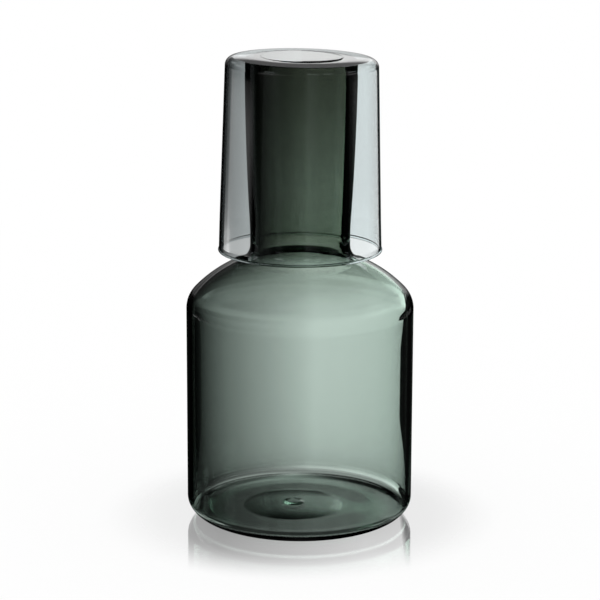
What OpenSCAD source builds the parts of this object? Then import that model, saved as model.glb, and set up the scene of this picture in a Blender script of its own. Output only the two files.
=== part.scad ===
// Bedside carafe with a tumbler turned over its neck, in millimetres.
// Both pieces are blown glass, turned about the Z axis. The carafe stands on z = 0.

/* [Carafe body] */
// Outside diameter of the straight body
body_d = 106; // [96:1:120]
// Height at which the straight wall ends and the shoulder starts to round
body_straight_h = 100.3; // [85:0.1:115]
// Thickness of the wall from the heel to the shoulder
body_wall = 2.5; // [1.8:0.1:3.5]
// Radius that rounds the body into the shoulder
shoulder_r = 12; // [9:0.5:16]
// How far that rounding turns before it meets the shoulder's dome, in degrees
shoulder_turn = 44; // [40:1:48]
// Radius of the shoulder's dome
dome_r = 60; // [52:1:72]

/* [Carafe base] */
// How far the heel's rounding reaches in from the wall
heel_w = 12.5; // [9:0.5:15]
// How far the heel's rounding reaches up the wall
heel_h = 9.5; // [7:0.25:12]
// Thickness of the floor above the table
floor_t = 4.1; // [3.5:0.1:6]
// Radius that rounds the wall into the floor, inside
inner_heel_r = 2.5; // [1.5:0.25:4]
// Width of the ring that the carafe stands on
foot_w = 3; // [2:0.25:5]
// Depth of the shallow hollow inside that ring
base_hollow_h = 0.8; // [0.5:0.1:1.4]
// Diameter of the kick, the low dome pushed up in the middle of the base
kick_d = 47; // [38:1:54]
// Height of the kick
kick_h = 1.2; // [0.8:0.05:2.4]
// Distance each way over which the kick's edge is rounded
kick_edge_w = 1; // [0.5:0.1:2]
// Diameter of the button of glass in the middle of the floor
button_d = 9; // [7:0.5:12]
// Height of that button
button_h = 0.4; // [0.3:0.05:1.2]

/* [Carafe neck] */
// Radius that sweeps the shoulder up into the neck, outside
neck_root_r = 8; // [5:0.5:11]
// Outside diameter of the neck at its waist
neck_waist_d = 46.4; // [42:0.2:50]
// Height of the waist, where the neck starts to widen, above the end of that sweep
neck_waist_rise = 5; // [2:0.5:16]
// Thickness of the neck's wall at the waist
neck_wall = 2.4; // [1.8:0.1:3.4]
// Outside diameter of the neck just under the mouth
mouth_d = 51.8; // [49:0.2:56]
// Thickness of the wall at the mouth
mouth_wall = 3; // [2.4:0.1:4.2]

/* [Tumbler] */
// Height of the tumbler
tumbler_h = 90.6; // [84:0.1:98]
// How far its wall leans out from the base to the rim
tumbler_flare = 2.7; // [1.5:0.1:5]
// Thickness of its wall
tumbler_wall = 0.9; // [0.8:0.05:1.6]
// Thickness of its base at the pad
tumbler_base_t = 1.2; // [1:0.05:2]
// Radius that rounds the wall into the base, outside
tumbler_heel_r = 3.8; // [3.2:0.1:5]
// Radius that rounds the wall into the base, inside
tumbler_inner_heel_r = 3.2; // [2.4:0.1:3.6]
// Diameter of the flat pad that it stands on
tumbler_pad_d = 38; // [32:0.5:46]
// Height of that pad
tumbler_pad_h = 0.3; // [0.2:0.05:0.5]
// Width of the pad's rounded edge
tumbler_pad_edge_w = 0.8; // [0.5:0.1:2]
// Slope of the base's crown where it meets the heel's rounding, in degrees
tumbler_crown_slope = 3.5; // [2:0.5:5]
// Thickness of the fire-polished bead round the rim
rim_bead_d = 1.3; // [1.2:0.1:2]
// How far the bead stands proud of the wall
rim_bead_proud = 0.3; // [0.2:0.05:0.5]

/* [Fit] */
// Gap between the carafe's mouth and the tumbler's base
seat_gap = 0.2; // [0.1:0.05:0.4]
// Room between the mouth and the tumbler's wall, all round
mouth_gap = 8.3; // [5:0.1:11]
// Height of the tumbler's rim above the dome of the shoulder
rim_gap = 9.5; // [6:0.1:15]

/* [Hidden] */
$fn = 96;
smoked_glass = [0.45, 0.53, 0.49, 0.6];
pale_glass = [0.84, 0.88, 0.88, 0.35];
// Steps in a quarter turn of a rounding, and in a long curve
arc_steps = 10;
curve_steps = 16;
// Places across the button's flank, from its foot to its flat top, as shares of its radius
button_foot_share = 1.3;
button_top_share = 0.55;
// Powers that shape the neck's flare: how fast it opens, and how soon it leaves the waist upright
neck_flare_power = 1.7;
neck_start_power = 12;

body_r = body_d / 2;
heel_r_in = body_r - heel_w;
foot_r_in = heel_r_in - foot_w;
kick_r = kick_d / 2;
kick_slope = 2 * kick_h / kick_r;
button_r = button_d / 2;
waist_r = neck_waist_d / 2;
mouth_r = mouth_d / 2;
lip_r = mouth_wall / 2;

tumbler_base_r = mouth_r + mouth_gap + tumbler_wall;
tumbler_rim_r = tumbler_base_r + tumbler_flare;
bead_r = rim_bead_d / 2;
bead_c = tumbler_rim_r + rim_bead_proud - bead_r;
// Where the bead's circle meets the wall, as an angle about its middle
bead_end_a = 60;

// Points along an arc about c, with its own radius each way
function arc(c, rx, ry, from, to, steps = arc_steps) =
    [for (i = [0:steps]) let (a = from + (to - from) * i / steps) c + [rx * cos(a), ry * sin(a)]];

// Smooth step from 0 to 1
function ease(t) = (1 - cos(180 * min(1, max(0, t)))) / 2;

// Middles of the shoulder's rounding and of its dome, and the dome's height at radius r
shoulder_c = [body_r - shoulder_r, body_straight_h];
dome_c = shoulder_c - (dome_r - shoulder_r) * [cos(shoulder_turn), sin(shoulder_turn)];
function dome_z(r) = dome_c[1] + sqrt(pow(dome_r, 2) - pow(r - dome_c[0], 2));

// Middle of the arc that joins a dome, lowered by drop, to a neck that is root_r inside the middle
root_x = waist_r + neck_root_r;
function root_c(root_r, drop) =
    [root_x, dome_c[1] + sqrt(pow(dome_r - drop + root_r, 2) - pow(root_x - dome_c[0], 2))];

// Angle about the dome's middle at which that arc meets it
function root_a(root_r, drop) = let (reach = root_c(root_r, drop) - dome_c) atan2(reach[1], reach[0]);

// The tumbler's base above its rim at z = 0: the foot of the pad, the arc of the crown and the heel's rounding
pad_r = tumbler_pad_d / 2;
pad_foot_z = tumbler_h - tumbler_pad_h;
tumbler_heel_x = tumbler_outer(pad_foot_z - tumbler_heel_r) - tumbler_heel_r;
crown_r = tumbler_heel_r + (tumbler_heel_x - pad_r) / sin(tumbler_crown_slope);
crown_c = [pad_r, pad_foot_z - crown_r];
crown_a = 90 - tumbler_crown_slope;
tumbler_heel_c = crown_c + (crown_r - tumbler_heel_r) * [cos(crown_a), sin(crown_a)];

// Height of the tumbler's rim above the table, and of the mouth that its base rests on
tumbler_rim_z = dome_z(bead_c + bead_r) + rim_gap;
carafe_h = tumbler_rim_z + tumbler_h - tumbler_base_t - seat_gap;
lip_z = carafe_h - lip_r;
neck_waist_h = root_c(neck_root_r, 0)[1] + neck_waist_rise;

// Outside and inside radius of the neck at height z, opening quickly above the waist and then less and less
function neck_t(z) = let (left = 1 - (z - neck_waist_h) / (lip_z - neck_waist_h))
    1 - pow(left, neck_flare_power) - neck_flare_power * (1 - left) * pow(left, neck_start_power);
function neck_outer(z) = waist_r + (mouth_r - waist_r) * neck_t(z);
function neck_inner(z) = neck_outer(z) - neck_wall - (mouth_wall - neck_wall) * neck_t(z);

// Heights of the kick in the base, and of the button on it, at radius r
function kick_z(r) = let (past = r - kick_r)
    abs(past) < kick_edge_w ? kick_slope * pow(kick_edge_w - past, 2) / (4 * kick_edge_w)
    : kick_h * max(0, 1 - pow(r / kick_r, 2));
function button_z(r) =
    button_h * ease((button_foot_share * button_r - r) / ((button_foot_share - button_top_share) * button_r));
function floor_z(r) = floor_t + kick_z(r) + button_z(r);
function under_z(r) = base_hollow_h * ease((foot_r_in - r) / (foot_r_in - kick_r)) + kick_z(r);

// Outside of the carafe, from the middle of its underside to the mouth
function carafe_outside() = concat(
    [for (i = [0:3 * curve_steps]) let (r = foot_r_in * i / (3 * curve_steps)) [r, under_z(r)]],
    arc([heel_r_in, heel_h], heel_w, heel_h, -90, 0),
    arc(shoulder_c, shoulder_r, shoulder_r, 0, shoulder_turn),
    arc(dome_c, dome_r, dome_r, shoulder_turn, root_a(neck_root_r, 0)),
    arc(root_c(neck_root_r, 0), neck_root_r, neck_root_r, 180 + root_a(neck_root_r, 0), 180),
    [for (i = [0:curve_steps]) let (z = neck_waist_h + (lip_z - neck_waist_h) * i / curve_steps) [neck_outer(z), z]]
);

// Inside of the carafe, from the mouth down to the middle of the floor
function carafe_inside() = let (
    sweep_r = neck_root_r + neck_wall,
    sweep_a = root_a(sweep_r, body_wall),
    heel_c = [body_r - body_wall - inner_heel_r, floor_t + inner_heel_r]
) concat(
    [for (i = [curve_steps:-1:0]) let (z = neck_waist_h + (lip_z - neck_waist_h) * i / curve_steps) [neck_inner(z), z]],
    arc(root_c(sweep_r, body_wall), sweep_r, sweep_r, 180, 180 + sweep_a),
    arc(dome_c, dome_r - body_wall, dome_r - body_wall, sweep_a, shoulder_turn),
    arc(shoulder_c, shoulder_r - body_wall, shoulder_r - body_wall, shoulder_turn, 0),
    arc(heel_c, inner_heel_r, inner_heel_r, 0, -90),
    [for (i = [3 * curve_steps:-1:0]) let (r = heel_c[0] * i / (3 * curve_steps)) [r, floor_z(r)]]
);

// The mouth's round lip, between the two
function carafe_lip() =
    [for (p = arc([mouth_r - lip_r, lip_z], lip_r, lip_r, 0, 180)) if (p[1] > lip_z) p];

// Outside radius of the tumbler's tapering wall at height z above its rim
function tumbler_outer(z) = tumbler_rim_r + (tumbler_base_r - tumbler_rim_r) * z / tumbler_h;

// Section of the tumbler with its rim at z = 0 and its base up
function tumbler_section() = let (
    pad_top_r = pad_r - tumbler_pad_edge_w,
    floor_z = tumbler_h - tumbler_base_t,
    inner_heel_z = floor_z - tumbler_inner_heel_r,
    inner_heel_c = [tumbler_outer(inner_heel_z) - tumbler_wall - tumbler_inner_heel_r, inner_heel_z]
) concat(
    arc([bead_c, bead_r], bead_r, bead_r, -180, bead_end_a),
    [[tumbler_outer(rim_bead_d), rim_bead_d]],
    arc(tumbler_heel_c, tumbler_heel_r, tumbler_heel_r, 0, crown_a),
    arc(crown_c, crown_r, crown_r, crown_a, 90),
    [for (i = [1:arc_steps]) let (r = pad_r - tumbler_pad_edge_w * i / arc_steps)
        [r, pad_foot_z + tumbler_pad_h * ease(i / arc_steps)]],
    [[0, tumbler_h], [0, floor_z]],
    arc(inner_heel_c, tumbler_inner_heel_r, tumbler_inner_heel_r, 90, 0),
    [[tumbler_outer(rim_bead_d) - tumbler_wall, rim_bead_d]]
);

module carafe() {
    color(smoked_glass)
        rotate_extrude() polygon(concat(carafe_outside(), carafe_lip(), carafe_inside()));
}

module tumbler() {
    color(pale_glass)
        translate([0, 0, tumbler_rim_z])
            rotate_extrude() polygon(tumbler_section());
}

carafe();
tumbler();
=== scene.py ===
"""Bedside carafe with a tumbler over its neck: blown glass on a plain pale floor.

Metres, Z up, as the frame.
"""
import math
from functools import reduce

import bpy
import numpy as np
from mathutils import Matrix, Vector


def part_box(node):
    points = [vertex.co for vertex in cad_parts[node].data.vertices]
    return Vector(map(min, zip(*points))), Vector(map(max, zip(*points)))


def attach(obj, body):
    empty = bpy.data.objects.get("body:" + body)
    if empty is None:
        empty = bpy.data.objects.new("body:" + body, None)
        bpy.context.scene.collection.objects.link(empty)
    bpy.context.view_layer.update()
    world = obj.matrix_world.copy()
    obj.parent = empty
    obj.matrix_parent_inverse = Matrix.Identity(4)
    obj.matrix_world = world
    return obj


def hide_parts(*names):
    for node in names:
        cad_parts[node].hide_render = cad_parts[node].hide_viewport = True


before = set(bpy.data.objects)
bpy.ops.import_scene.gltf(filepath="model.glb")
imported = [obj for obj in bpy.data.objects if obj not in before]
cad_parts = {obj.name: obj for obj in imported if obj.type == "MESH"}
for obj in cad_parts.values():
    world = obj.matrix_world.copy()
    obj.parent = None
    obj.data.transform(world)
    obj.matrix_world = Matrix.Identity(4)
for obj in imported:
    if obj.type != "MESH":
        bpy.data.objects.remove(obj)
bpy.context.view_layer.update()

MM = 0.001

# Points round each piece
SEGMENTS = 256
# Steps in a quarter turn of a rounding, and in a long curve
ARC_STEPS = 14
CURVE_STEPS = 40
# Steps round the tumbler's bead, along its inner base and along the flat of its pad
BEAD_STEPS = 24
BASE_STEPS = 12
PAD_STEPS = 6
# A ring of a smaller radius than this is one point on the axis
ON_AXIS = 1e-9

# How much the neck and the tumbler lean to the right, and from what height
LEAN_START = 142 * MM
NECK_LEAN = 0.004
TUMBLER_LEAN = 0.0075
# How far their level planes tip, and the rise over which that comes in
TIP = 0.02
TIP_RISE = 80 * MM
# How far the kick is off centre, and the radius inside which the floor follows it
KICK_SHIFT = 2.6 * MM
KICK_REACH = 34 * MM

# Refraction of glass
IOR = 1.5
# Red, green and blue light that each glass takes off in a metre
SMOKED_LOSS = (115.0, 74.0, 95.0)
PALE_LOSS = (116.0, 62.0, 58.0)
# A volume's density over its strongest loss, so that no part of its colour falls to zero
LOSS_MARGIN = 1.25
# The colour that the smoked glass holds in its skin, by height: it deepens up the neck
SMOKED_TINTS = [
    (100 * MM, (1.0, 1.0, 1.0)),
    (110 * MM, (0.94, 0.94, 0.94)),
    (119 * MM, (0.72, 0.73, 0.71)),
    (132 * MM, (0.45, 0.47, 0.42)),
    (157 * MM, (0.475, 0.48, 0.44)),
    (179 * MM, (0.412, 0.406, 0.373)),
    (200 * MM, (0.34, 0.33, 0.3)),
    (216 * MM, (0.3, 0.285, 0.255)),
]
# Height of the shoulder's turn, where the skin mirrors less, and how far up and down that goes; what stays
# of the mirror there, and how softly it ends, as a share of the reach
CALM_HEIGHT = 103.5 * MM
CALM_REACH = 4.5 * MM
CALM_SHARE = 0.1
CALM_SOFT = 0.2

# A soft step is written below as from, to, value before, value after

# Azimuths, in degrees from +Y towards +X, of the panels that glass shows: the one behind the object as the
# camera sees it, those seen level, those seen from higher up, and those for a view from the back or a side
FRONT_PANEL = (0.0,)
LEVEL_PANELS = (90.0, 157.5, 225.0, 292.5)
STEEP_PANELS = (45.0, 135.0, 225.0, 315.0)
BACK_PANELS = (135.0, 225.0)
SIDE_PANELS = (90.0, 270.0)
# Azimuths of the panels that the outer surfaces mirror, and their shape as in panels()
MIRROR_PANELS = (0.0, 45.0, 90.0, 225.0)
MIRROR_SHAPE = {"start": 0.0, "fade": 14.0, "edge": 16.0, "blur": 10.0}
# Where a panel's left side starts to fall, the angle in which it falls to a third, where its right edge
# lies and how soft that edge is
PANEL_START = 0.6
PANEL_FADE = 3.6
PANEL_EDGE = 10.2
PANEL_BLUR = 0.8
# The same edge and fade as the neck and the tumbler show them, from higher up
NECK_EDGE = 14.3
NECK_FADE = 3.2

# Soft steps in the studio by rise above the horizon, in degrees
CEILING = (24.0, 36.0, 1.0, 0.03)
HORIZON = (-2.0, 3.0, 0.0, 1.0)
LEVEL_LOW_END = (-30.0, -24.0, 0.05, 1.0)
STEEP_LOW_END = (-36.0, -31.0, 0.03, 1.0)
STEEP_TOP_END = (-20.0, -17.0, 1.0, 0.0)
BACK_LOW_END = (-34.0, -28.0, 0.0, 1.0)
SIDE_LOW_END = (-10.0, -8.6, 0.0, 1.0)
EDGE_AT_NECK = (-14.8, -13.4, PANEL_EDGE, NECK_EDGE)
EDGE_AT_BASE = (-18.4, -16.2, 14.0, 0.0)
FADE_AT_NECK = (-13.9, -13.4, PANEL_FADE, NECK_FADE)
SLOWER_AT_NECK = ((-12.8, -12.3, 0.0, 0.6), (-8.8, -7.8, 1.0, 0.0))
GAIN_AT_NECK = (-13.4, -12.4, 0.0, 1.0)
GAIN_BY_RISE = (-12.5, -10.6, 1.13, 1.0)
CORNER_TOP = (-14.2, -13.7, 0.0, 1.0)
EASED_TOP = (-23.0, -19.0, 0.0, 1.0)
# Soft steps by azimuth, in degrees
GAIN_BY_TURN = (6.5, 12.0, 1.0, 1.45)
DIP_BY_TURN = ((-5.0, -2.0, 0.0, -0.14), (1.5, 4.5, 1.0, 0.0))
CORNER_BY_TURN = (-11.5, -6.5, 0.4, 1.0)
EASED_BY_TURN = (1.0, 5.0, 1.0, 0.35)

# Patches of light by direction: the soft steps by rise, then those by azimuth. The first two are seen
# through the glass, the next by rays turned back inside it, and the outer surfaces mirror the others
SHOULDER_LIGHT = ((-8.6, -6.8, 0.0, 0.16), (-2.0, 2.0, 1.0, 0.0)), ((-3.0, 2.0, 0.0, 1.0),)
TABLE_LIGHT = ((-42.0, -34.0, 1.0, 0.0),), ((-25.0, -15.0, 1.0, 0.0),)
WIDE_LIGHT = ((2.0, 6.0, 0.0, 1.0), (21.0, 25.0, 1.0, 0.0)), ((1.5, 6.0, 0.0, 1.7), (26.0, 34.0, 1.0, 0.0))
LEFT_CARD = (), ((-110.0, -96.0, 0.0, 0.95), (-56.0, -48.0, 1.0, 0.12))
LEFT_LAMP = ((-12.5, -8.3, 1.3, 0.0),), ((-66.0, -58.0, 0.0, 1.0), (-46.0, -40.0, 1.0, 0.0))
LEFT_END = ((-12.5, -9.0, 2.8, 1.0),), ((-44.0, -38.0, 1.0, 0.0),)
RIGHT_CARD = (), ((26.0, 34.0, 0.0, 1.2), (92.0, 104.0, 1.0, 0.0), (46.0, 80.0, 1.0, 0.4))
CARD_ENDS = ((-13.2, -12.4, 0.0, 1.0), (-7.0, -5.0, 1.0, 0.0)), ()
GLARE = ((1.0, 4.0, 0.0, 1.0), (10.0, 16.0, 1.0, 0.0)), ((2.0, 5.0, 0.0, 0.9), (18.0, 26.0, 1.0, 0.0))
# How light turned back inside the glass, and the mirrored panels, change with rise
INNER_BY_RISE = ((9.0, 15.0, 0.1, 1.0), (21.0, 29.0, 1.0, 0.12)), ()
MIRROR_BY_RISE = (
    (-6.0, 2.0, 0.02, 0.5),
    (6.6, 7.6, 1.0, 2.7),
    (8.8, 10.6, 1.0, 0.16),
    (14.0, 24.0, 1.0, 0.5),
    (26.0, 33.0, 1.0, 0.15),
), ()

# The table: its radius, the corners round it, how far it lies below the glass, and how rough it mirrors
TABLE_R = 0.7
TABLE_CORNERS = 96
TABLE_DROP = 0.0002
TABLE_ROUGHNESS = 0.06
# How much of the table's white is its own glow, so that the shadow on it stays pale
TABLE_GLOW = 0.85
# How much of the white gives way to the mirror image, by X at the left, the front and the right, in metres,
# and by distance from the axis
SHINE_LEFT = (-0.05, -0.036, 0.83, 0.62)
SHINE_FRONT = (-0.036, 0.03, 0.62, 0.34)
SHINE_RIGHT = (0.045, 0.05, 0.0, 0.83)
SHINE_REACH = (0.058, 0.098, 1.0, 0.0)
# Distance from the axis at which the shade under the glass ends, and the distance past it that halves it
SHADE_START = 0.055
SHADE_HALF = 0.017
# Painted light on the table just behind the foot, as glass sees it, by Y and by distance
PAINTED_LIGHT_BEHIND_BY_Y = (0.015, 0.05, 0.0, 0.46)
PAINTED_LIGHT_BEHIND_REACH = (SHADE_START, 0.09, 1.0, 0.0)
# Painted shade on the far table that only steep rays see, by slant, by distance and by how far aside
PAINTED_FAR_SHADE_SLANT = (0.612, 0.653, 0.97, 0.0)
PAINTED_FAR_SHADE_REACH = (0.1, 0.18, 0.0, 1.0)
PAINTED_FAR_SHADE_ASIDE = (0.36, 0.5, 1.0, 0.0)
# Painted light on the near left of the table for steep rays, by slant, by X and by Y
PAINTED_NEAR_LIGHT_SLANT = (0.38, 0.46, 1.0, 0.0)
PAINTED_NEAR_LIGHT_BY_X = (0.0, 0.02, 1.0, 0.0)
PAINTED_NEAR_LIGHT_BY_Y = (0.015, 0.045, 1.0, 0.0)

# The camera: its place, its lens and sensor in millimetres, and its tilt
CAMERA_PLACE = (0.0, -1.1082, 0.3709)
CAMERA_LENS = 146.6
CAMERA_SENSOR = 36
CAMERA_CLIP = 0.01
CAMERA_PITCH = math.radians(13.56)
CAMERA_ROLL = 0.0034


def arc(centre, rx, ry, start, end, steps=ARC_STEPS):
    """Points along an arc about centre, with its own radius each way; angles in degrees."""
    turn = np.radians(np.linspace(start, end, steps + 1))
    return [(centre[0] + rx * c, centre[1] + ry * s) for c, s in zip(np.cos(turn), np.sin(turn))]


def ease(t):
    """Smooth step from 0 to 1."""
    return (1 - math.cos(math.pi * min(1.0, max(0.0, t)))) / 2


def span(a, b, steps=CURVE_STEPS):
    return np.linspace(a, b, steps + 1)


class Carafe:
    """The carafe's sizes, in metres. The outside follows the frame."""

    body_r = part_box("carafe")[1][0]
    mouth_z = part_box("carafe")[1][2]
    body_straight_h = 100.3 * MM
    body_wall = 2.5 * MM
    shoulder_r = 12 * MM
    shoulder_turn = math.radians(44)
    dome_r = 60 * MM
    heel_w = 12.5 * MM
    heel_h = 9.5 * MM
    floor_t = 4.1 * MM
    inner_heel_r = 2.5 * MM
    foot_w = 3 * MM
    hollow_h = 0.8 * MM
    kick_r = 23.5 * MM
    kick_h = 1.2 * MM
    kick_edge = 1 * MM
    button_r = 4.5 * MM
    button_h = 0.4 * MM
    button_foot_share = 1.3
    button_top_share = 0.55
    root_r = 8 * MM
    waist_r = 23.2 * MM
    waist_rise = 5 * MM
    neck_wall = 2.4 * MM
    neck_flare_power = 1.7
    neck_start_power = 12
    mouth_r = 25.9 * MM
    mouth_wall = 3 * MM

    def __init__(self):
        self.heel_in = self.body_r - self.heel_w
        self.foot_in = self.heel_in - self.foot_w
        self.lip_r = self.mouth_wall / 2
        self.lip_z = self.mouth_z - self.lip_r
        self.shoulder_c = (self.body_r - self.shoulder_r, self.body_straight_h)
        inset = self.dome_r - self.shoulder_r
        self.dome_c = (
            self.shoulder_c[0] - inset * math.cos(self.shoulder_turn),
            self.shoulder_c[1] - inset * math.sin(self.shoulder_turn),
        )
        self.root_x = self.waist_r + self.root_r
        self.waist_z = self.root_c(self.root_r, 0)[1] + self.waist_rise

    def root_c(self, radius, drop):
        """Middle of the arc of this radius that meets the dome, lowered by drop, and the neck."""
        reach = self.dome_r - drop + radius
        return self.root_x, self.dome_c[1] + math.sqrt(reach**2 - (self.root_x - self.dome_c[0]) ** 2)

    def root_turn(self, radius, drop):
        """Angle on the dome, in degrees, at which that arc meets it."""
        x, z = self.root_c(radius, drop)
        return math.degrees(math.atan2(z - self.dome_c[1], x - self.dome_c[0]))

    def neck_t(self, z):
        """How far the neck has opened at height z: quickly above the waist, then less and less."""
        left = 1 - (z - self.waist_z) / (self.lip_z - self.waist_z)
        start = self.neck_flare_power * (1 - left) * left**self.neck_start_power
        return 1 - left**self.neck_flare_power - start

    def neck_outer(self, z):
        return self.waist_r + (self.mouth_r - self.waist_r) * self.neck_t(z)

    def neck_inner(self, z):
        return self.neck_outer(z) - self.neck_wall - (self.mouth_wall - self.neck_wall) * self.neck_t(z)

    def kick_z(self, r):
        """Height of the kick, a low dome whose edge is rounded over kick_edge each way."""
        slope = 2 * self.kick_h / self.kick_r
        past = r - self.kick_r
        if abs(past) < self.kick_edge:
            return slope * (self.kick_edge - past) ** 2 / (4 * self.kick_edge)
        return self.kick_h * max(0.0, 1 - (r / self.kick_r) ** 2)

    def floor_z(self, r):
        foot_r = self.button_foot_share * self.button_r
        top_r = self.button_top_share * self.button_r
        return self.floor_t + self.kick_z(r) + self.button_h * ease((foot_r - r) / (foot_r - top_r))

    def under_z(self, r):
        return self.hollow_h * ease((self.foot_in - r) / (self.foot_in - self.kick_r)) + self.kick_z(r)

    def shoulder(self, drop):
        """The shoulder from the wall to the neck's root, lowered by drop."""
        small = self.shoulder_r - drop
        large = self.dome_r - drop
        radius = self.root_r + (self.neck_wall if drop else 0)
        turn = math.degrees(self.shoulder_turn)
        top = self.root_turn(radius, drop)
        return (
            arc(self.shoulder_c, small, small, 0, turn, 2 * ARC_STEPS)
            + arc(self.dome_c, large, large, turn, top, 2 * ARC_STEPS)[1:]
            + arc(self.root_c(radius, drop), radius, radius, 180 + top, 180, 2 * ARC_STEPS)[1:]
        )

    def outside(self):
        return (
            [(r, self.under_z(r)) for r in span(0, self.foot_in, 3 * CURVE_STEPS)]
            + arc((self.heel_in, self.heel_h), self.heel_w, self.heel_h, -90, 0, 2 * ARC_STEPS)
            + [(self.body_r, z) for z in span(self.heel_h, self.body_straight_h)[1:-1]]
            + self.shoulder(0)
            + [(self.neck_outer(z), z) for z in span(self.waist_z, self.lip_z)]
        )

    def inside(self):
        wall_r = self.body_r - self.body_wall
        heel = (wall_r - self.inner_heel_r, self.floor_t + self.inner_heel_r)
        return (
            [(self.neck_inner(z), z) for z in span(self.lip_z, self.waist_z)]
            + self.shoulder(self.body_wall)[::-1]
            + [(wall_r, z) for z in span(self.body_straight_h, heel[1])[1:-1]]
            + arc(heel, self.inner_heel_r, self.inner_heel_r, 0, -90)
            + [(r, self.floor_z(r)) for r in span(heel[0], 0, 4 * CURVE_STEPS)[1:]]
        )

    def section(self):
        lip = arc((self.mouth_r - self.lip_r, self.lip_z), self.lip_r, self.lip_r, 0, 180)[1:-1]
        return self.outside() + lip + self.inside()


class Tumbler:
    """The tumbler's sizes, in metres, with its rim at the bottom. Its height and place follow the frame."""

    rim_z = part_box("tumbler")[0][2]
    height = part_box("tumbler")[1][2] - rim_z
    rim_r = 37.8 * MM
    base_r = 35.1 * MM
    wall = 0.9 * MM
    base_t = 1.2 * MM
    pad_r = 19 * MM
    pad_h = 0.4 * MM
    pad_edge = 0.5 * MM
    crown_turn = math.radians(3.5)
    heel_r = 3.8 * MM
    inner_heel_r = 3.2 * MM
    bead_r = 0.75 * MM
    bead_proud = 0.3 * MM
    # Angle at which the bead's outside runs into the wall
    bead_turn = 60

    def outer(self, z):
        return self.rim_r + (self.base_r - self.rim_r) * z / self.height

    def base(self):
        """The base from the wall to the middle: a rounded heel, a slight crown and a flat pad."""
        pad_z = self.height - self.pad_h
        heel_x = self.outer(self.height - self.heel_r) - self.heel_r
        crown_r = self.heel_r + (heel_x - self.pad_r) / math.sin(self.crown_turn)
        heel_z = pad_z - crown_r + (crown_r - self.heel_r) * math.cos(self.crown_turn)
        turn = 90 - math.degrees(self.crown_turn)
        return (
            arc((heel_x, heel_z), self.heel_r, self.heel_r, 0, turn, 2 * ARC_STEPS)
            + arc((self.pad_r, pad_z - crown_r), crown_r, crown_r, turn, 90, 2 * ARC_STEPS)[1:]
            + [
                (r, pad_z + self.pad_h * ease((self.pad_r - r) / self.pad_edge))
                for r in span(self.pad_r, self.pad_r - self.pad_edge, 2 * ARC_STEPS)[1:]
            ]
            + [(r, self.height) for r in span(self.pad_r - self.pad_edge, 0, PAD_STEPS)[1:]]
        )

    def section(self):
        bead_d = 2 * self.bead_r
        bead_x = self.rim_r + self.bead_proud - self.bead_r
        base = self.base()
        floor_z = self.height - self.base_t
        inner_z = floor_z - self.inner_heel_r
        inner = (self.outer(inner_z) - self.wall - self.inner_heel_r, inner_z)
        points = (
            arc((bead_x, self.bead_r), self.bead_r, self.bead_r, -180, self.bead_turn, BEAD_STEPS)
            + [(self.outer(z), z) for z in span(bead_d, base[0][1])[:-1]]
            + base
            + [(r, floor_z) for r in span(0, inner[0], BASE_STEPS)]
            + arc(inner, self.inner_heel_r, self.inner_heel_r, 90, 0, 2 * ARC_STEPS)[1:]
            + [(self.outer(z) - self.wall, z) for z in span(inner[1], bead_d)[1:]]
        )
        return [(r, z + self.rim_z) for r, z in points]


def lean(verts, slope):
    """Leans the part above LEAN_START by slope towards +X, and tips its level planes the same way."""
    x, y, z = verts.T
    rise = np.maximum(z - LEAN_START, 0)
    tip = TIP * np.clip(rise / TIP_RISE, 0, 1)
    return np.stack([x + slope * rise, y, np.minimum(z - tip * x, z.max())], 1)


def settle_carafe(verts):
    """The blower's marks on the carafe: a kick off centre and a leaning neck."""
    x, y, z = verts.T
    near = np.clip((KICK_REACH - np.hypot(x, y)) / (KICK_REACH - Carafe.kick_r), 0, 1)
    low = z < 3 * Carafe.floor_t
    return lean(np.stack([x - KICK_SHIFT * near * low, y, z], 1), NECK_LEAN)


def settle_tumbler(verts):
    return lean(verts, TUMBLER_LEAN)


def turned(name, section, settle):
    """A closed mesh turned about Z, moved by settle.

    The section starts and ends on the axis, or is a closed ring off it.
    """
    turn = np.linspace(0, 2 * math.pi, SEGMENTS, endpoint=False)
    verts = []
    rings = []
    for r, z in section:
        if r < ON_AXIS:
            rings.append([len(verts)] * SEGMENTS)
            verts.append((0.0, 0.0, z))
            continue
        rings.append(list(range(len(verts), len(verts) + SEGMENTS)))
        verts.extend(zip(r * np.cos(turn), r * np.sin(turn), np.full(SEGMENTS, z)))
    verts = settle(np.array(verts))
    pairs = list(zip(rings, rings[1:]))
    if rings[0][0] != rings[0][-1]:
        pairs.append((rings[-1], rings[0]))
    faces = []
    for low, high in pairs:
        if low[0] == low[-1] and high[0] == high[-1]:
            continue
        for i in range(SEGMENTS):
            j = (i + 1) % SEGMENTS
            faces.append(tuple(dict.fromkeys([low[i], low[j], high[j], high[i]])))
    mesh = bpy.data.meshes.new(name)
    mesh.from_pydata([tuple(v) for v in verts], [], faces)
    mesh.validate()
    mesh.polygons.foreach_set("use_smooth", [True] * len(mesh.polygons))
    piece = bpy.data.objects.new(name, mesh)
    bpy.context.scene.collection.objects.link(piece)
    return piece


def put(tree, value, socket):
    """Sets a socket to a plain number, or links another socket to it."""
    if isinstance(value, (int, float)):
        socket.default_value = value
    else:
        tree.links.new(value, socket)


def maths(tree, kind, *values):
    node = tree.nodes.new("ShaderNodeMath")
    node.operation = kind
    for socket, value in zip(node.inputs, values):
        put(tree, value, socket)
    return node.outputs[0]


def product(tree, *values):
    return reduce(lambda a, b: maths(tree, "MULTIPLY", a, b), values)


def largest(tree, *values):
    return reduce(lambda a, b: maths(tree, "MAXIMUM", a, b), values)


def mapped(tree, value, low, high, before, after, kind="SMOOTHSTEP"):
    """A soft step of value, from before at low to after at high."""
    node = tree.nodes.new("ShaderNodeMapRange")
    node.interpolation_type = kind
    for socket, limit in (("From Min", low), ("From Max", high), ("To Min", before), ("To Max", after)):
        node.inputs[socket].default_value = limit
    tree.links.new(value, node.inputs["Value"])
    return node.outputs["Result"]


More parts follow.
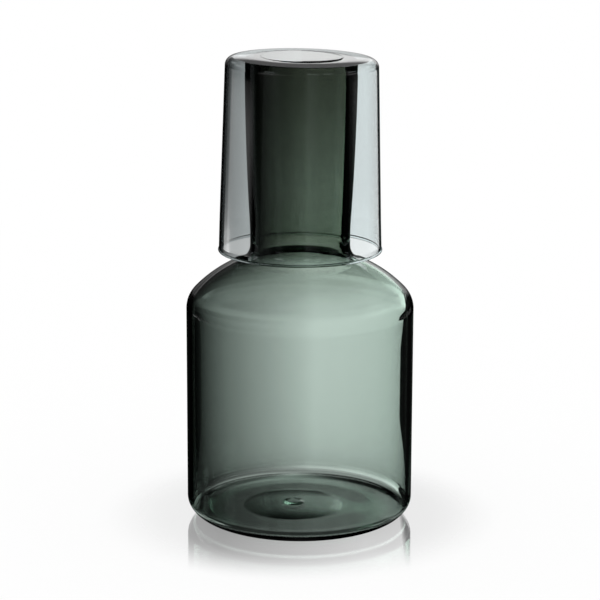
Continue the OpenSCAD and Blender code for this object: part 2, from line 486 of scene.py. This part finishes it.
def mixed(tree, factor, a, b):
    """a where factor is 0, b where it is 1."""
    node = tree.nodes.new("ShaderNodeMix")
    node.data_type = "FLOAT"
    put(tree, factor, node.inputs["Factor"])
    put(tree, a, node.inputs["A"])
    put(tree, b, node.inputs["B"])
    return node.outputs[0]


def blended(tree, factor, first, second):
    """The first shader where factor is 0, the second where it is 1."""
    node = tree.nodes.new("ShaderNodeMixShader")
    put(tree, factor, node.inputs[0])
    tree.links.new(first, node.inputs[1])
    tree.links.new(second, node.inputs[2])
    return node.outputs[0]


def parts_of(tree, vector):
    """The X, Y and Z of a vector."""
    node = tree.nodes.new("ShaderNodeSeparateXYZ")
    tree.links.new(vector, node.inputs[0])
    return node.outputs


def new_material(name):
    material = bpy.data.materials.new(name)
    material.use_nodes = True
    material.node_tree.nodes.clear()
    return material


def absorb(per_metre):
    """Density and colour of a volume that takes off this much of red, green and blue in each metre."""
    density = max(per_metre) * LOSS_MARGIN
    return density, tuple(1 - p / density for p in per_metre)


def tinted(tree, height, tints):
    """The colour at this height between those of tints, a list of height and colour."""
    low, high = tints[0][0], tints[-1][0]
    ramp = tree.nodes.new("ShaderNodeValToRGB")
    ramp.color_ramp.interpolation = "EASE"
    elements = ramp.color_ramp.elements
    while len(elements) < len(tints):
        elements.new(0.5)
    for element, (z, tint) in zip(elements, tints):
        element.position = (z - low) / (high - low)
        element.color = (*tint, 1)
    tree.links.new(mapped(tree, height, low, high, 0.0, 1.0, "LINEAR"), ramp.inputs["Fac"])
    return ramp.outputs["Color"]


def glass(name, loss, tints=None):
    """Blown glass: clear surfaces, and a volume that takes light off with depth.

    With tints, the skin holds some colour by height, and mirrors less at the shoulder's turn.
    """
    material = new_material(name)
    tree = material.node_tree
    out = tree.nodes.new("ShaderNodeOutputMaterial")
    skin = tree.nodes.new("ShaderNodeBsdfPrincipled")
    skin.inputs["Roughness"].default_value = 0.0
    skin.inputs["IOR"].default_value = IOR
    skin.inputs["Transmission Weight"].default_value = 1.0
    skin.inputs["Base Color"].default_value = (1, 1, 1, 1)
    face = skin.outputs[0]
    if tints:
        place = tree.nodes.new("ShaderNodeNewGeometry")
        height = parts_of(tree, place.outputs["Position"])["Z"]
        tree.links.new(tinted(tree, height, tints), skin.inputs["Base Color"])
        away = maths(tree, "ABSOLUTE", maths(tree, "SUBTRACT", height, CALM_HEIGHT))
        near, far = CALM_REACH * (1 - CALM_SOFT), CALM_REACH * (1 + CALM_SOFT)
        share = mapped(tree, away, near, far, CALM_SHARE, 1.0)
        bent = tree.nodes.new("ShaderNodeBsdfRefraction")
        bent.inputs["Roughness"].default_value = 0.0
        bent.inputs["IOR"].default_value = IOR
        face = blended(tree, share, bent.outputs[0], face)
    density, colour = absorb(loss)
    body = tree.nodes.new("ShaderNodeVolumeAbsorption")
    body.inputs["Color"].default_value = (*colour, 1)
    body.inputs["Density"].default_value = density
    tree.links.new(face, out.inputs["Surface"])
    tree.links.new(body.outputs[0], out.inputs["Volume"])
    return material


class Studio:
    """White all round for the camera and the floor; panels and dark gaps for what glass shows."""

    def __init__(self):
        world = bpy.data.worlds.new("studio")
        bpy.context.scene.world = world
        world.use_nodes = True
        self.tree = world.node_tree
        self.tree.nodes.clear()
        place = self.tree.nodes.new("ShaderNodeTexCoord")
        x, y, z = parts_of(self.tree, place.outputs["Generated"])
        self.azimuth = maths(self.tree, "MULTIPLY", maths(self.tree, "ARCTAN2", x, y), 180 / math.pi)
        self.rise = maths(self.tree, "MULTIPLY", maths(self.tree, "ARCSINE", z), 180 / math.pi)
        self.ceiling = self.by_rise(CEILING)
        self.edge = maths(self.tree, "ADD", self.by_rise(EDGE_AT_NECK), self.by_rise(EDGE_AT_BASE))

    def by_rise(self, step):
        return mapped(self.tree, self.rise, *step)

    def by_turn(self, step):
        return mapped(self.tree, self.azimuth, *step)

    def patch(self, steps):
        """Product of soft steps by rise and by azimuth."""
        rises, turns = steps
        return product(self.tree, *[self.by_rise(s) for s in rises], *[self.by_turn(s) for s in turns])

    def panels(self, places, start=PANEL_START, fade=PANEL_FADE, edge=PANEL_EDGE, blur=PANEL_BLUR):
        """Brightness of soft panels at these azimuths: a gentle left side and a crisp right edge."""
        tree = self.tree
        shown = []
        for place in places:
            offset = maths(tree, "WRAP", maths(tree, "SUBTRACT", self.azimuth, place), 180.0, -180.0)
            fall = maths(tree, "MINIMUM", maths(tree, "SUBTRACT", offset, start), 0.0)
            left = maths(tree, "EXPONENT", maths(tree, "DIVIDE", fall, fade))
            right = mapped(tree, maths(tree, "SUBTRACT", offset, edge), 0.0, blur, 1.0, 0.0)
            shown.append(product(tree, left, right))
        return largest(tree, *shown)

    def front(self):
        """The panel behind the object from the front, with its brighter and darker parts."""
        tree = self.tree
        slower = product(tree, *[self.by_rise(step) for step in SLOWER_AT_NECK])
        fade = maths(tree, "ADD", slower, self.by_rise(FADE_AT_NECK))
        dip = product(tree, *[self.by_turn(step) for step in DIP_BY_TURN])
        gain = maths(tree, "ADD", self.by_turn(GAIN_BY_TURN), dip)
        gain = product(tree, gain, self.by_rise(GAIN_BY_RISE))
        gain = maths(tree, "ADD", gain, self.patch(SHOULDER_LIGHT))
        eased = mapped(tree, maths(tree, "ABSOLUTE", self.azimuth), *EASED_BY_TURN)
        return product(
            tree,
            self.panels(FRONT_PANEL, fade=fade, edge=self.edge),
            self.ceiling,
            mixed(tree, self.by_rise(GAIN_AT_NECK), 1.0, gain),
            mixed(tree, self.by_rise(CORNER_TOP), self.by_turn(CORNER_BY_TURN), 1.0),
            mixed(tree, self.by_rise(EASED_TOP), eased, 1.0),
        )

    def through(self):
        """What straight rays see through the glass, but for the panels of the turned views."""
        tree = self.tree
        level = self.panels(LEVEL_PANELS, edge=self.edge)
        level = product(tree, level, self.by_rise(LEVEL_LOW_END), self.ceiling)
        below = product(tree, self.by_rise(STEEP_LOW_END), self.by_rise(STEEP_TOP_END))
        above = product(tree, self.by_rise(HORIZON), self.ceiling)
        steep = product(tree, self.panels(STEEP_PANELS), maths(tree, "ADD", below, above))
        return largest(tree, level, self.front(), steep, self.patch(TABLE_LIGHT))

    def turned_views(self):
        """The panels behind the object from the back and from the sides."""
        tree = self.tree
        back = product(tree, self.panels(BACK_PANELS, edge=NECK_EDGE), self.by_rise(BACK_LOW_END))
        side = product(tree, self.panels(SIDE_PANELS, edge=NECK_EDGE), self.by_rise(SIDE_LOW_END))
        return product(tree, largest(tree, back, side), self.ceiling)

    def sheen(self):
        """What the outer surfaces mirror: panels, a card at each side and a glare."""
        tree = self.tree
        mirrored = product(tree, self.panels(MIRROR_PANELS, **MIRROR_SHAPE), self.patch(MIRROR_BY_RISE))
        left = maths(tree, "ADD", self.patch(LEFT_CARD), self.patch(LEFT_LAMP))
        left = product(tree, left, self.patch(LEFT_END))
        beside = product(tree, largest(tree, left, self.patch(RIGHT_CARD)), self.patch(CARD_ENDS))
        return largest(tree, mirrored, beside, self.patch(GLARE))

    def link(self):
        """Picks by kind of ray, and links the result to the world."""
        tree = self.tree
        path = tree.nodes.new("ShaderNodeLightPath")
        through = self.through()
        inner = largest(tree, product(tree, through, self.patch(INNER_BY_RISE)), self.patch(WIDE_LIGHT))
        reflected = maths(tree, "MINIMUM", path.outputs["Glossy Depth"], 1.0)
        passed = maths(tree, "MINIMUM", path.outputs["Transmission Depth"], 1.0)
        behind = mixed(tree, reflected, largest(tree, through, self.turned_views()), inner)
        shown = mixed(tree, passed, self.sheen(), behind)
        # Camera rays, rays off a matt surface and the floor's own blurred mirror rays see plain white
        seen = largest(tree, path.outputs["Is Transmission Ray"], path.outputs["Is Glossy Ray"])
        soft = maths(tree, "MINIMUM", path.outputs["Diffuse Depth"], 1.0)
        blurred = maths(tree, "SUBTRACT", path.outputs["Is Glossy Ray"], path.outputs["Is Singular Ray"])
        blurred = product(tree, blurred, maths(tree, "SUBTRACT", 1.0, passed))
        plain = largest(tree, maths(tree, "SUBTRACT", 1.0, seen), soft, blurred)
        sky = tree.nodes.new("ShaderNodeBackground")
        sky.inputs["Color"].default_value = (1, 1, 1, 1)
        out = tree.nodes.new("ShaderNodeOutputWorld")
        tree.links.new(mixed(tree, plain, shown, 1.0), sky.inputs["Strength"])
        tree.links.new(sky.outputs[0], out.inputs[0])


def floor_shine(tree, x, reach):
    """How much of the table's white gives way to the mirror image."""
    left = mapped(tree, x, *SHINE_LEFT, "LINEAR")
    front = mapped(tree, x, *SHINE_FRONT, "LINEAR")
    share = largest(tree, maths(tree, "MINIMUM", left, front), mapped(tree, x, *SHINE_RIGHT))
    return product(tree, share, mapped(tree, reach, *SHINE_REACH))


def floor_veil(tree, x, y, reach):
    """Painted light and shade on the table that glass sees through it, by place and by how steeply a ray
    meets it.
    """
    glance = tree.nodes.new("ShaderNodeLayerWeight")
    glance.inputs["Blend"].default_value = 0.5
    slant = glance.outputs["Facing"]
    past = largest(tree, maths(tree, "SUBTRACT", reach, SHADE_START), 0.0)
    shade = maths(tree, "DIVIDE", past, maths(tree, "ADD", past, SHADE_HALF))
    # Painted light on the table behind the foot
    behind = product(tree, mapped(tree, y, *PAINTED_LIGHT_BEHIND_BY_Y), mapped(tree, reach, *PAINTED_LIGHT_BEHIND_REACH))
    aside = maths(tree, "DIVIDE", maths(tree, "ABSOLUTE", x), reach)
    # Painted shade on the far table, for steep rays only
    far = mapped(tree, slant, *PAINTED_FAR_SHADE_SLANT)
    far = product(tree, far, mapped(tree, reach, *PAINTED_FAR_SHADE_REACH), mapped(tree, aside, *PAINTED_FAR_SHADE_ASIDE))
    # Painted light on the near left table, for steep rays only
    near = mapped(tree, slant, *PAINTED_NEAR_LIGHT_SLANT)
    near = product(tree, near, mapped(tree, x, *PAINTED_NEAR_LIGHT_BY_X), mapped(tree, y, *PAINTED_NEAR_LIGHT_BY_Y))
    shade = product(tree, largest(tree, shade, behind), maths(tree, "SUBTRACT", 1.0, far))
    return largest(tree, shade, near)


def floor_material():
    material = new_material("pale_floor")
    tree = material.node_tree
    out = tree.nodes.new("ShaderNodeOutputMaterial")
    place = tree.nodes.new("ShaderNodeNewGeometry")
    path = tree.nodes.new("ShaderNodeLightPath")
    distance = tree.nodes.new("ShaderNodeVectorMath")
    distance.operation = "LENGTH"
    tree.links.new(place.outputs["Position"], distance.inputs[0])
    reach = distance.outputs["Value"]
    x, y, _ = parts_of(tree, place.outputs["Position"])
    matt = tree.nodes.new("ShaderNodeBsdfDiffuse")
    matt.inputs["Color"].default_value = (1, 1, 1, 1)
    glow = tree.nodes.new("ShaderNodeEmission")
    shine = tree.nodes.new("ShaderNodeBsdfGlossy")
    shine.inputs["Roughness"].default_value = TABLE_ROUGHNESS
    veil = tree.nodes.new("ShaderNodeBsdfTransparent")
    tree.links.new(floor_veil(tree, x, y, reach), veil.inputs["Color"])
    table = blended(tree, TABLE_GLOW, matt.outputs[0], glow.outputs[0])
    table = blended(tree, floor_shine(tree, x, reach), table, shine.outputs[0])
    hidden = largest(tree, path.outputs["Is Transmission Ray"], path.outputs["Is Glossy Ray"])
    tree.links.new(blended(tree, hidden, table, veil.outputs[0]), out.inputs["Surface"])
    return material


def pale_floor():
    """A pale glossy table: white to the camera, with a soft shadow and a faint reflection of the glass."""
    mesh = bpy.data.meshes.new("floor")
    turn = np.linspace(0, 2 * math.pi, TABLE_CORNERS, endpoint=False)
    verts = [(TABLE_R * math.cos(t), TABLE_R * math.sin(t), -TABLE_DROP) for t in turn]
    mesh.from_pydata(verts, [], [tuple(range(TABLE_CORNERS))])
    floor = bpy.data.objects.new("floor", mesh)
    bpy.context.scene.collection.objects.link(floor)
    mesh.materials.append(floor_material())


def camera():
    """At the photograph's viewing angle, with no shift."""
    data = bpy.data.cameras.new("camera")
    data.lens = CAMERA_LENS
    data.sensor_width = CAMERA_SENSOR
    data.clip_start = CAMERA_CLIP
    view = bpy.data.objects.new("camera", data)
    bpy.context.scene.collection.objects.link(view)
    turn = Matrix.Rotation(math.pi / 2 - CAMERA_PITCH, 4, "X") @ Matrix.Rotation(CAMERA_ROLL, 4, "Z")
    view.matrix_world = Matrix.Translation(Vector(CAMERA_PLACE)) @ turn
    bpy.context.scene.camera = view


camera()
Studio().link()
pale_floor()

carafe = turned("carafe_glass", Carafe().section(), settle_carafe)
carafe.data.materials.append(glass("smoked_glass", SMOKED_LOSS, SMOKED_TINTS))
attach(carafe, "carafe")
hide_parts("carafe")

tumbler = turned("tumbler_glass", Tumbler().section(), settle_tumbler)
tumbler.data.materials.append(glass("pale_glass", PALE_LOSS))
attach(tumbler, "tumbler")
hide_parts("tumbler")

# Enough bounces for light to cross four walls of glass and turn back inside them
scene = bpy.context.scene
scene.view_settings.view_transform = "Standard"
scene.cycles.max_bounces = 32
scene.cycles.transmission_bounces = 32
scene.cycles.glossy_bounces = 12
scene.cycles.transparent_max_bounces = 16
